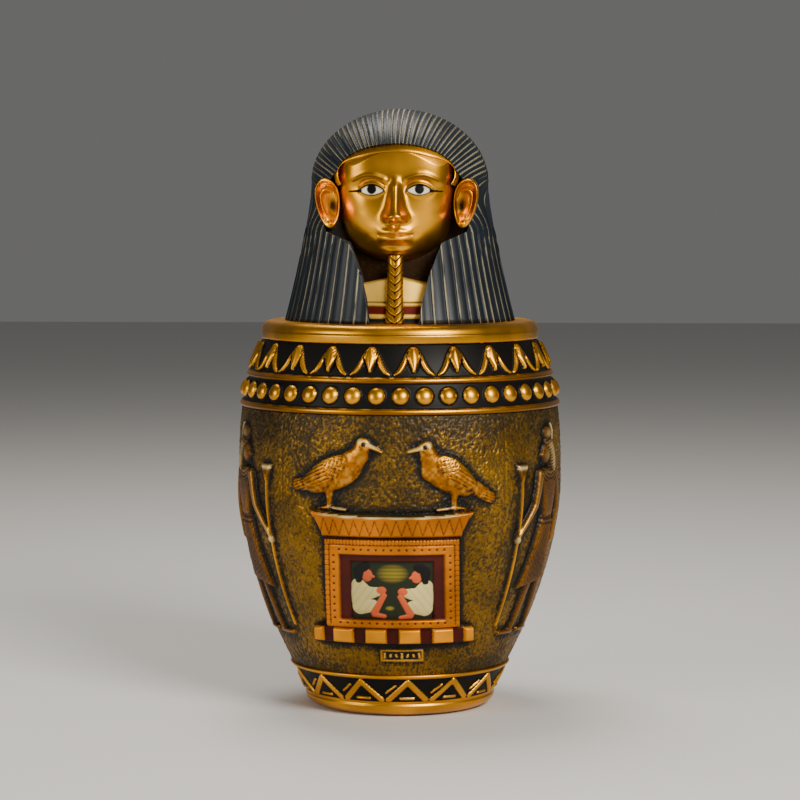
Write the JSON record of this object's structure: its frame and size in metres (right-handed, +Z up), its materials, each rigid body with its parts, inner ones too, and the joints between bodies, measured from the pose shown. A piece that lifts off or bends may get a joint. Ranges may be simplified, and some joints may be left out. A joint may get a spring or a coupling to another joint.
{
  "type": "canopic jar",
  "caption": "Souvenir canopic jar in cast painted resin: hollow barrel body with relief bands, a small shrine and figures, and a lift-off lid shaped as a head in a long wig.",
  "frame": {"origin": "centre of the underside of the jar's foot", "axes": "+Z up through the lid's crown, the front with the face and the shrine towards -Y, +X to the right of a viewer who looks at the front"},
  "size_m": [0.1108, 0.1163, 0.2053],
  "materials": {
    "jar_resin": "metallic gold paint rubbed over a near-black wash, satin gloss",
    "lid_resin": "metallic gold paint with a blue-black wash in the grooves, satin gloss"
  },
  "bodies": {
    "root": {"jar_body": "jar_resin", "head_lid": "lid_resin"}
  },
  "joints": []
}
